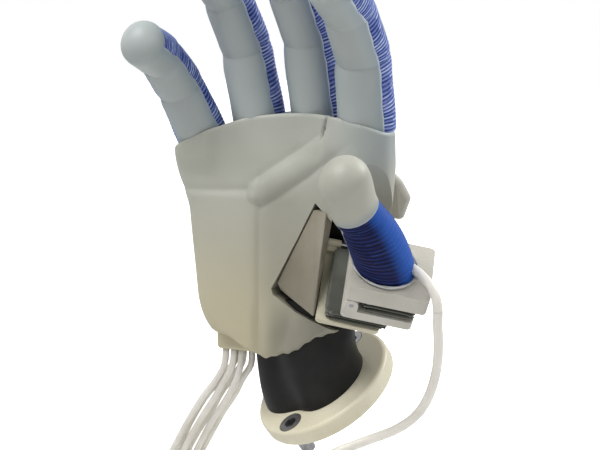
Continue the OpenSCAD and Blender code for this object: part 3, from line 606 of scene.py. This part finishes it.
def palm_relief(x, z):
    """Height of the palm's forms above its plain crown; within, all is in millimetres. The fold is a
    rounded bar along its line, with a shallow groove beside it, and flattens towards the index finger.
    Creases, seam and slit are bell-curve grooves that fade along their length. The heel and the knuckles
    are smooth steps, and the tail's bulge and hollow are products of two bell curves."""
    x, z = x / mm, z / mm
    along_fold = fold_to - fold_from
    reach = np.linalg.norm(along_fold)
    s = (along_fold[0] * (z - fold_from[1]) - along_fold[1] * (x - fold_from[0])) / reach
    t = ((x - fold_from[0]) * along_fold[0] + (z - fold_from[1]) * along_fold[1]) / reach ** 2
    off = np.hypot(s, np.maximum(0, -t) * reach)
    bar = 2.3 * np.clip(1 - (off / 5.6) ** 2, 0, 1) ** 0.9 - 0.4 * hump(off - 5.8, 1.8)
    fold = bar * (1 - 0.65 * smoothed(t, 0.45, 1.0)) * smoothed(-t, -1.2, -0.85)
    heel = smoothed(-x, 18.5, 21.5) * smoothed(-z, -90.5, -86)
    crease = -0.45 * hump(z - 90 - 0.03 * (x + 40), 1.5) * smoothed(-x, 20, 26)
    upright = -0.4 * hump(x + 20.5, 1.4) * smoothed(-z, -88, -83) * smoothed(z, 36, 46)
    tail_groove = -1.3 * hump(x + 20.5, 1.7) * smoothed(-z, -46, -34)
    seam = -0.28 * hump(x + 19.8, 0.45) * smoothed(-z, -104, -98) * smoothed(z, 24, 30)
    aslant = x - 0.25 * (z - 119)
    index_knuckle = 1.15 * smoothed(aslant, 9.5, 15) * smoothed(z, 94, 108)
    index_knuckle = index_knuckle + 2.07 * hump(x - 26, 8) * smoothed(z, 90, 99)
    little_knuckle = 2.99 * smoothed(-x, 36, 42) * smoothed(z, 95, 105)
    slit = -1.6 * hump(aslant - 10.5, 0.7) * smoothed(z, 110, 114)
    seats = 0.7 * hump(x - 4, 8) * smoothed(z, 105, 112)
    pad = 1.5 * hump(x + 38, 14) * hump(z - 62, 26)
    bulge = 3.0 * hump(x + 15, 4.5) * hump(z - 30, 13)
    hollow = -1.2 * hump(x + 8 - 0.25 * (z - 30), 3.2) * hump(z - 31, 10)
    wave = 0.22 * np.sin(x / 7) * np.sin(z / 9 + x / 15) + 0.12 * np.sin(x / 3.1 + z / 4)
    grooves = crease + upright + tail_groove + seam + slit + hollow
    return (fold + heel + index_knuckle + little_knuckle + seats + pad + bulge + wave + grooves) * mm


def palm_ring(height, inset, columns):
    """Ring of the palm at a share of its height: the palm side runs left to right, and the back returns.
    Its depth from the middle surface is that of a superellipse, half the thickness times (1 -
    |e|^3.2)^(1/2.6), e running from -1 to 1 across the palm. The lower edge is torn by two sines, and inset
    draws in the end rings."""
    rough = palm_foot + (palm_top - palm_foot) * height
    left, right = rounded_lookup(rough, left_edge) + inset, rounded_lookup(rough, right_edge) - inset
    front = int(columns * 0.7)
    u = np.concatenate([np.linspace(0, 1, front, endpoint=False),
                        np.linspace(1, 0, columns - front, endpoint=False)])
    is_front = np.arange(columns) < front
    eased = (1 - np.cos(np.pi * u)) / 2
    x = left + (right - left) * (u + (eased - u) * 0.72)
    e = 2 * (x - left) / (right - left) - 1
    half = palm_thickness / 2 + 1.5 * mm * (1 - height) - inset
    depth = half * np.clip(1 - np.abs(e) ** 3.2, 0, 1) ** (1 / 2.6)
    torn = (0.5 * np.sin(x / (2.3 * mm)) + 0.3 * np.sin(x / (0.77 * mm) + 1)) * mm
    z = rounded_lookup(x, lower_edge) + inset + torn * smoothed(x, -22 * mm, -12 * mm)
    z = z + (palm_top + rounded_lookup(x, upper_edge) - inset - z) * height
    low_middle = -12.5 * mm - 12 * mm * ((x / mm - 2) / 55) ** 2
    y = low_middle + (rounded_lookup(x, middle_at_fingers) - low_middle) * smoothed(height, 0.4, 1.0)
    y = y + np.where(is_front, -depth - palm_relief(x, z) * np.clip(depth / (8 * mm), 0, 1), depth)
    return np.stack([x, y, z], -1)


heights = np.concatenate([[0, 0.003, 0.008, 0.016], np.linspace(0.03, 0.97, 150), [0.984, 0.992, 0.997, 1.0]])
insets = np.concatenate([[3, 1.6, 0.8, 0.3], np.zeros(150), [0.3, 0.8, 1.6, 3]]) * mm
rings = np.array([palm_ring(height, inset, 260) for height, inset in zip(heights, insets)])
palm = mesh_from("palm_casting", *closed_tube(rings))


def prism(name, outline, low, high, axes):
    """Closed prism of an outline in millimetres: axes gives the places of the outline's two numbers and of
    the number that runs from low to high."""
    n = len(outline)
    points = np.zeros((2 * n, 3))
    points[:, axes[0]] = np.tile([p[0] for p in outline], 2)
    points[:, axes[1]] = np.tile([p[1] for p in outline], 2)
    points[:, axes[2]] = np.repeat([low, high], n)
    faces = [list(range(n)), list(range(2 * n - 1, n - 1, -1))]
    faces += [[j, j + n, (j + 1) % n + n, (j + 1) % n] for j in range(n)]
    piece = mesh_from(name, points * mm, faces, False)
    outward(piece)
    return piece


def cut(piece, cutter):
    """Takes the cutter's shape out of the piece, and the cutter away."""
    tool = piece.modifiers.new("cut", "BOOLEAN")
    tool.operation, tool.solver, tool.object = "DIFFERENCE", "EXACT", cutter
    bpy.context.view_layer.update()
    seen = bpy.context.evaluated_depsgraph_get()
    result = bpy.data.meshes.new_from_object(piece.evaluated_get(seen))
    piece.modifiers.clear()
    piece.data = result
    bpy.data.objects.remove(cutter)


def seat_cylinder(radius, low, high, place, turn):
    """Closed cylinder about a turned middle line."""
    angle = np.linspace(0, 2 * np.pi, 96, endpoint=False)
    ring = np.stack([radius * np.cos(angle), radius * np.sin(angle), 0 * angle], -1)
    grid = np.array([ring + [0, 0, low], ring + [0, 0, high]])
    return mesh_from("seat", *closed_tube(grid @ turn.T + place))


# Rooms for the frame, for the wedge in its window, for the plates and bellows, and for each finger's seat
frame_front, frame_back, frame_gap, seat_gap = -15, -9, 0.3, 0.4
frame_outline = [[-28, 43.7], [16, 43.7], [24.3, 60], [28.3, 92], [18.1, 104.3], [-28.1, 104.3], [-34.3, 92],
                 [-34.3, 60]]
window_outline = [[5.5, 86], [-14, 49], [-13, 46.5], [-4, 40], [24, 28], [70, 30], [70, 64], [26, 66],
                  [14, 78]]
fan_outline = [[-10.2, -20], [70, -20], [70, 46], [-10.2, 46]]
cut(palm, prism("frame_room", frame_outline, frame_front - frame_gap, frame_back + frame_gap, (0, 2, 1)))
cut(palm, prism("window_room", window_outline, -75, frame_front, (0, 2, 1)))
fan_room = prism("fan_space", fan_outline, -6.6, 53.4, (0, 1, 2))
fan_room.data.transform(Matrix.Translation(fan_at.tolist()) @ Matrix(fan.tolist()).to_4x4())
cut(palm, fan_room)
for seat, turns, radius, lengths, bends in fingers.values():
    room = seat_cylinder((radius + seat_gap) * mm, -0.3 * mm, 30 * mm, np.array(seat) * mm, turned(*turns))
    cut(palm, room)
palm.data.polygons.foreach_set("use_smooth", np.ones(len(palm.data.polygons), bool))
palm.data.set_sharp_from_angle(angle=math.radians(48))
palm.data.materials.clear()
palm.data.materials.append(silicone)
spots = np.empty(len(palm.data.vertices) * 3)
palm.data.vertices.foreach_get("co", spots)
spots = spots.reshape(-1, 3)
x, y, z = spots.T
yellow = smoothed(-x, -30 * mm, 26 * mm) * smoothed(-z, -96 * mm, -30 * mm)
attribute(palm, "yellowed", np.maximum(yellow, 0.7 * smoothed(-z, -42 * mm, -24 * mm)))
# Over the dark frame and at the torn tail the casting is thin and is painted darker, partly the dark parts
# behind showing through and partly painted shade; the whole palm is painted a little darker as well
dark = 0.42 * smoothed(x, -26 * mm, -12 * mm) * smoothed(-z, -100 * mm, -84 * mm)
dark += 0.38 * smoothed(x, -16 * mm, -4 * mm) * smoothed(-z, -46 * mm, -28 * mm)
attribute(palm, "frame_and_painted_shade", dark + 0.16)
# The opening's inner edge beside the wedge lies in deep shade
in_opening = (np.abs(y - frame_front * mm) < 0.5 * mm) & (np.abs(x + 4 * mm) < 11 * mm)
attribute(palm, "in_shade", in_opening * 1.0)
index_side = 0.6 * hump(np.linalg.norm(spots - np.array([33, -22, 112]) * mm, axis=1), 13 * mm)
attribute(palm, "near_thread", index_side + 0.10 * smoothed(z, 100 * mm, 122 * mm))
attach(palm, "base")
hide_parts("palm_skin")

tab = prism("hose_tab", [[-45.5, -20], [-27, -20], [-27, -7], [-45.5, -7]], 19, 31, (0, 1, 2))
edge = tab.modifiers.new("edge", "BEVEL")
edge.width, edge.segments = 1.8 * mm, 4
tab.data.polygons.foreach_set("use_smooth", np.ones(len(tab.data.polygons), bool))
tab.data.materials.append(silicone)
attribute(tab, "yellowed", np.full(8, 1.0))
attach(tab, "base")

# ---- Wrist ----
# One piece of printed nylon, dyed black. Its foot is round, with a spread on the little finger's side, and
# sits on the flange; its top is an oval inside the palm.
wrist_yaw, wrist_tilt, flange_thickness = 29, 37, 8 * mm
tilted = turned(0, 0, -wrist_yaw) @ turned(wrist_tilt, 0, 0)
bolt_angle = -77.0


def wrist_grid(rows, columns):
    """Hermite curves from the foot's outline on the flange to the oval at the palm. The foot's radius is a
    circle's plus a bell curve at the spread and less one at each screw. Halfway up, a valley and a lobe
    beside it run along the palm side, each a bell curve round the wrist times half a sine wave along it."""
    degrees = np.linspace(0, 360, columns, endpoint=False)
    apart = lambda about: np.abs((degrees - about + 540) % 360 - 180)
    radius = (20.4 + 6.5 * hump(apart(bolt_angle - 53), 30) - 2.6 * hump(apart(bolt_angle), 20)
              - 2.6 * hump(apart(bolt_angle + 180), 20)) * mm
    a = np.radians(degrees)
    foot = np.stack([radius * np.cos(a), radius * np.sin(a), flange_thickness + 0 * a], -1) @ tilted.T
    b = np.radians(degrees - wrist_yaw)
    head = np.stack([-6 * mm + 24 * mm * np.cos(b), -13 * mm + 11 * mm * np.sin(b), 44 * mm + 0 * b], -1)
    leave, arrive = tilted @ np.array([0, 0, 30 * mm]), np.array([0, 0, 26 * mm])
    t = np.linspace(0, 1, rows)[:, None, None]
    grid = (foot * (2 * t**3 - 3 * t**2 + 1) + leave * (t**3 - 2 * t**2 + t) + head * (3 * t**2 - 2 * t**3)
            + arrive * (t**3 - t**2))
    middle = grid.mean(1, keepdims=True)
    valley = hump(apart(262), 16) * np.sin(np.pi * t[:, :, 0]) * 2.0 * mm
    lobe = hump(apart(300), 24) * np.sin(np.pi * t[:, :, 0]) * 0.8 * mm
    out = grid - middle
    out = out / np.linalg.norm(out, axis=2, keepdims=True)
    return grid + out * (lobe - valley)[:, :, None]


wrist = mesh_from("wrist_print", *closed_tube(wrist_grid(60, 180)))
wrist.data.set_sharp_from_angle(angle=math.radians(50))
black_nylon, tree, shader = finish_nodes("black_nylon")
tree.links.new(ramp(tree, noise(tree, 120, 6), [(0.3, (0.007, 0.007, 0.007)), (0.75, (0.014, 0.014, 0.013))]),
               shader.inputs["Base Color"])
shader.inputs["Roughness"].default_value = 0.42
shader.inputs["Specular IOR Level"].default_value = 0.16
bumped(tree, shader, noise(tree, 3500, 2), 0.00004)
wrist.data.materials.append(black_nylon)
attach(wrist, "base")
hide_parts("wrist_adapter")

# ---- Printed plates, flange and screws ----
# Nylon sintered in white and yellowed with age: the flange and the fixed plate are the yellowest. The
# screws and the hinge pins are steel.


def repaint(node, material):
    """Puts the material in every slot of a CAD node."""
    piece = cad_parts[node]
    piece.data.materials.clear()
    piece.data.materials.append(material)


def printed(name, low, high, roughness=0.55):
    """Sintered nylon: a fine sandy grain, faint dark specks and a slow drift between two colours."""
    material, tree, shader = finish_nodes(name)
    drift = ramp(tree, noise(tree, 45, 5), [(0.3, low), (0.7, high)])
    speck = ramp(tree, noise(tree, 1800, 2), [(0.35, (0.93, 0.93, 0.93)), (0.6, (1, 1, 1))])
    tree.links.new(mixed(tree, 1.0, drift, speck, "MULTIPLY"), shader.inputs["Base Color"])
    shader.inputs["Roughness"].default_value = roughness
    shader.inputs["Subsurface Weight"].default_value = 0.12
    shader.inputs["Subsurface Radius"].default_value = (1, 0.9, 0.7)
    shader.inputs["Subsurface Scale"].default_value = 0.0015
    bumped(tree, shader, noise(tree, 2600, 2), 0.00006)
    return material


white_print = printed("white_print", (0.42, 0.40, 0.345), (0.52, 0.50, 0.445))
cream_print = printed("cream_print", (0.62, 0.57, 0.42), (0.72, 0.685, 0.54), roughness=0.4)
plate_cream = printed("plate_cream", (0.44, 0.41, 0.30), (0.53, 0.50, 0.38))
# The wedge's colour is painted dark, as painted shade
shaded_wedge_print = printed("shaded_wedge_print", (0.185, 0.165, 0.122), (0.245, 0.222, 0.172))
steel, tree, shader = finish_nodes("screw_steel")
tree.links.new(ramp(tree, noise(tree, 300, 4), [(0.3, (0.20, 0.20, 0.21)), (0.7, (0.34, 0.34, 0.35))]),
               shader.inputs["Base Color"])
shader.inputs["Metallic"].default_value = 1
shader.inputs["Roughness"].default_value = 0.35
bumped(tree, shader, noise(tree, 2000, 2), 0.00003)

for node, paint in (("arm_flange", cream_print), ("flange_screws", steel), ("lower_hinge_pin", steel),
                    ("upper_hinge_pin", steel), ("palm_frame", black_nylon), ("thenar_plate", plate_cream),
                    ("middle_plate", white_print), ("thumb_saddle", white_print),
                    ("knuckle_bracket", white_print)):
    repaint(node, paint)

# The wedge that carries the plates is painted dark, as painted shade, and has softened edges. It is the hull
# of its corners in the palm's opening and its corners on the fixed plate, trimmed flush with that plate's
# side.
window_corners = [[x, y, z] for x, z in ((5.2, 83), (11, 82.5), (-11.9, 51.3), (-10.4, 48.6), (-2, 45.2))
                  for y in (-26, -15.3)]
plate_corners = [[-9.9, 42, -5.0], [-9.9, 1.5, -5.2], [-9.9, 42, -9], [-9.9, 5, -9]]
plate_side = np.array([-9.8, 0, 0]) * mm
shape = bmesh.new()
for corner in np.vstack([np.array(window_corners) * mm, np.array(plate_corners) * mm @ fan.T + fan_at]):
    shape.verts.new(corner)
bmesh.ops.convex_hull(shape, input=shape.verts)
bmesh.ops.bisect_plane(shape, geom=shape.verts[:] + shape.edges[:] + shape.faces[:], clear_outer=True,
                       plane_co=fan_at + fan @ plate_side, plane_no=fan[:, 0])
bmesh.ops.holes_fill(shape, edges=shape.edges)
bmesh.ops.delete(shape, geom=[v for v in shape.verts if not v.link_faces], context="VERTS")
bmesh.ops.triangulate(shape, faces=shape.faces)
bmesh.ops.recalc_face_normals(shape, faces=shape.faces)
wedge = bpy.data.objects.new("shaded_wedge_print", bpy.data.meshes.new("shaded_wedge_print"))
bpy.context.scene.collection.objects.link(wedge)
shape.to_mesh(wedge.data)
shape.free()
edge = wedge.modifiers.new("edge", "BEVEL")
edge.width, edge.segments, edge.angle_limit = 0.6 * mm, 3, math.radians(75)
wedge.data.polygons.foreach_set("use_smooth", np.ones(len(wedge.data.polygons), bool))
wedge.data.set_sharp_from_angle(angle=math.radians(75))
wedge.data.materials.append(shaded_wedge_print)
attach(wedge, "base")
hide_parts("thenar_wedge")

# ---- Bellows ----
# Flat pouches of coated fabric, welded along their edges and stacked in pleats. Air opens them like a fan
# and lifts the plate above.
bellows_cloth, tree, shader = finish_nodes("bellows_cloth")
# The cloth is painted near black as painted shade, then lifted by painted light and a painted highlight
shaded_cloth = ramp(tree, noise(tree, 70, 4), [(0.3, (0.016, 0.017, 0.011)), (0.7, (0.040, 0.041, 0.029))])
painted_lit_cloth = mixed(tree, read_attribute(tree, "painted_light"), shaded_cloth, (0.100, 0.108, 0.090))
highlighted_cloth = mixed(tree, read_attribute(tree, "weld_highlight"), painted_lit_cloth, (0.21, 0.215, 0.18))
tree.links.new(highlighted_cloth, shader.inputs["Base Color"])
shader.inputs["Roughness"].default_value = 0.5
shader.inputs["Sheen Weight"].default_value = 0.1
bumped(tree, shader, noise(tree, 900, 2), 0.00007)


def bellows_piece(name, corner, size, pleats, painted_light_from, node):
    """Rings of a rounded rectangle, each coordinate the 0.14th power of a cosine or sine, whose size swings
    in and out once a pleat as the root of a sine wave. The outside of each pleat, where it is welded, is
    painted pale, partly the weld and partly a painted highlight, and the cloth is painted lighter past the
    given y and on every other pleat, as painted light."""
    rows, columns = pleats * 16 + 1, 160
    t = np.linspace(0, 1, rows)[:, None]
    swing = np.sqrt(np.abs(np.sin(np.pi * pleats * t)) + 1e-4)
    a = np.linspace(0, 2 * np.pi, columns, endpoint=False)[None, :]
    sag = 0.5 * mm * np.sin(4 * a + 2 * np.floor(pleats * t)) * np.sin(7 * a)
    x0, y0, z0 = corner
    width, depth, height = size
    inset = 2.4 * mm * (1 - swing) + np.abs(sag)
    x = x0 + width / 2 + (width / 2 - inset) * np.sign(np.cos(a)) * np.abs(np.cos(a)) ** 0.14
    y = y0 + depth / 2 + (depth / 2 - inset) * np.sign(np.sin(a)) * np.abs(np.sin(a)) ** 0.14
    z = z0 + height * t + 0.15 * mm * np.sin(5 * a + 9 * t) * np.sin(np.pi * t)
    piece = mesh_from(name, *closed_tube(np.stack([x, y, z], -1) @ fan.T + fan_at))
    piece.data.materials.append(bellows_cloth)
    from_pleat_ridge = np.abs(np.mod(pleats * t, 1) - 0.5)
    # Painted highlight along each pleat's outer ridge, where the cloth is welded
    attribute(piece, "weld_highlight", with_poles(0.85 * hump(from_pleat_ridge, 0.09) + 0 * a))
    # Painted light: lighter towards the pouches' upper back and on every other pleat
    painted_light = smoothed(y, painted_light_from, painted_light_from + 5 * mm) * 0.9 + 0.25 * (np.floor(pleats * t) % 2)
    attribute(piece, "painted_light", with_poles(painted_light))
    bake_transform(piece)
    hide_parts(node)


bellows_piece("lower_pouches", corner=np.array([-6.2, 0.8, -4.4]) * mm, size=np.array([26.2, 38, 4.2]) * mm,
              pleats=3, painted_light_from=21 * mm, node="lower_bellows")
bellows_piece("upper_pouches", corner=np.array([7.4, 0.8, 4.3]) * mm, size=np.array([22, 26, 5.7]) * mm,
              pleats=3, painted_light_from=40 * mm, node="upper_bellows")

# ---- Floor, light and camera ----
# The hand is held over a plain pale floor in soft light. The camera looks at it from a little to its right
# and above, shifted so that the hand fills the view's upper part. view_width is the width seen at the hand.
bpy.context.scene.view_settings.view_transform = "Standard"
eye_azimuth, eye_elevation = math.radians(28), math.radians(8)
eye_distance, view_width = 0.80, 0.2589
shift_left, shift_up = 0.0132039, 0.0726646
back = Vector((math.sin(eye_azimuth) * math.cos(eye_elevation),
               -math.cos(eye_azimuth) * math.cos(eye_elevation), math.sin(eye_elevation)))
right = Vector((math.cos(eye_azimuth), math.sin(eye_azimuth), 0))
up = back.cross(right)
camera_data = bpy.data.cameras.new("camera")
camera_data.sensor_width = 36
camera_data.lens = camera_data.sensor_width * eye_distance / view_width
camera = bpy.data.objects.new("camera", camera_data)
bpy.context.scene.collection.objects.link(camera)
camera.location = back * eye_distance - right * shift_left + up * shift_up
camera.rotation_euler = (-back).to_track_quat("-Z", "Y").to_euler()
bpy.context.scene.camera = camera

floor_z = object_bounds()[0].z
floor_corners = [(-3, -3, floor_z), (3, -3, floor_z), (3, 3, floor_z), (-3, 3, floor_z)]
floor = mesh_from("floor", floor_corners, [[0, 1, 2, 3]], False)
floor_paint, tree, shader = finish_nodes("floor_paint")
shader.inputs["Base Color"].default_value = (0.80, 0.80, 0.80, 1)
shader.inputs["Roughness"].default_value = 0.9
shader.inputs["Specular IOR Level"].default_value = 0.0
# Seen by the camera the floor glows, more so farther out, so that it runs into the white backdrop
spot = tree.nodes.new("ShaderNodeTexCoord")
reach = tree.nodes.new("ShaderNodeVectorMath")
reach.operation = "LENGTH"
tree.links.new(spot.outputs["Object"], reach.inputs[0])
farther = tree.nodes.new("ShaderNodeMapRange")
for socket, value in (("From Min", 0.12), ("From Max", 0.55), ("To Min", 0.42), ("To Max", 1.2)):
    farther.inputs[socket].default_value = value
tree.links.new(reach.outputs["Value"], farther.inputs["Value"])
glow = tree.nodes.new("ShaderNodeEmission")
tree.links.new(farther.outputs["Result"], glow.inputs["Strength"])
glowing = tree.nodes.new("ShaderNodeAddShader")
tree.links.new(shader.outputs["BSDF"], glowing.inputs[0])
tree.links.new(glow.outputs["Emission"], glowing.inputs[1])
seen = tree.nodes.new("ShaderNodeLightPath")
switch = tree.nodes.new("ShaderNodeMixShader")
tree.links.new(seen.outputs["Is Camera Ray"], switch.inputs[0])
tree.links.new(shader.outputs["BSDF"], switch.inputs[1])
tree.links.new(glowing.outputs["Shader"], switch.inputs[2])
tree.links.new(switch.outputs["Shader"], tree.nodes["Material Output"].inputs["Surface"])
floor.data.materials.append(floor_paint)

world = bpy.data.worlds.new("studio")
bpy.context.scene.world = world
world.use_nodes = True
tree = world.node_tree
# The camera, and what metal and clear silicone reflect or show, see the backdrop white; the rest gets a dim
# light
backdrop = tree.nodes["Background"]
backdrop.inputs["Color"].default_value = (1, 1, 1, 1)
seen = tree.nodes.new("ShaderNodeLightPath")
sees_white = seen.outputs["Is Camera Ray"]
for ray in ("Is Glossy Ray", "Is Transmission Ray"):
    either = tree.nodes.new("ShaderNodeMath")
    either.operation = "MAXIMUM"
    tree.links.new(sees_white, either.inputs[0])
    tree.links.new(seen.outputs[ray], either.inputs[1])
    sees_white = either.outputs[0]
strength = tree.nodes.new("ShaderNodeMapRange")
tree.links.new(sees_white, strength.inputs["Value"])
strength.inputs["To Min"].default_value = 0.30
strength.inputs["To Max"].default_value = 1.0
tree.links.new(strength.outputs["Result"], backdrop.inputs["Strength"])

lamps = (("key", (-0.22, -0.45, 0.82), 0.5, 7.7), ("fill", (0.8, -0.35, 0.55), 0.6, 2.2),
         ("rim", (0.5, 0.6, 0.7), 0.4, 7))
hand_middle = Vector((0, 0, 0.13))
for name, place, size, power in lamps:
    lamp_data = bpy.data.lights.new(name, "AREA")
    lamp_data.energy, lamp_data.size = power, size
    lamp = bpy.data.objects.new(name, lamp_data)
    lamp.location = place
    lamp.rotation_euler = (hand_middle - Vector(place)).to_track_quat("-Z", "Y").to_euler()
    bpy.context.scene.collection.objects.link(lamp)
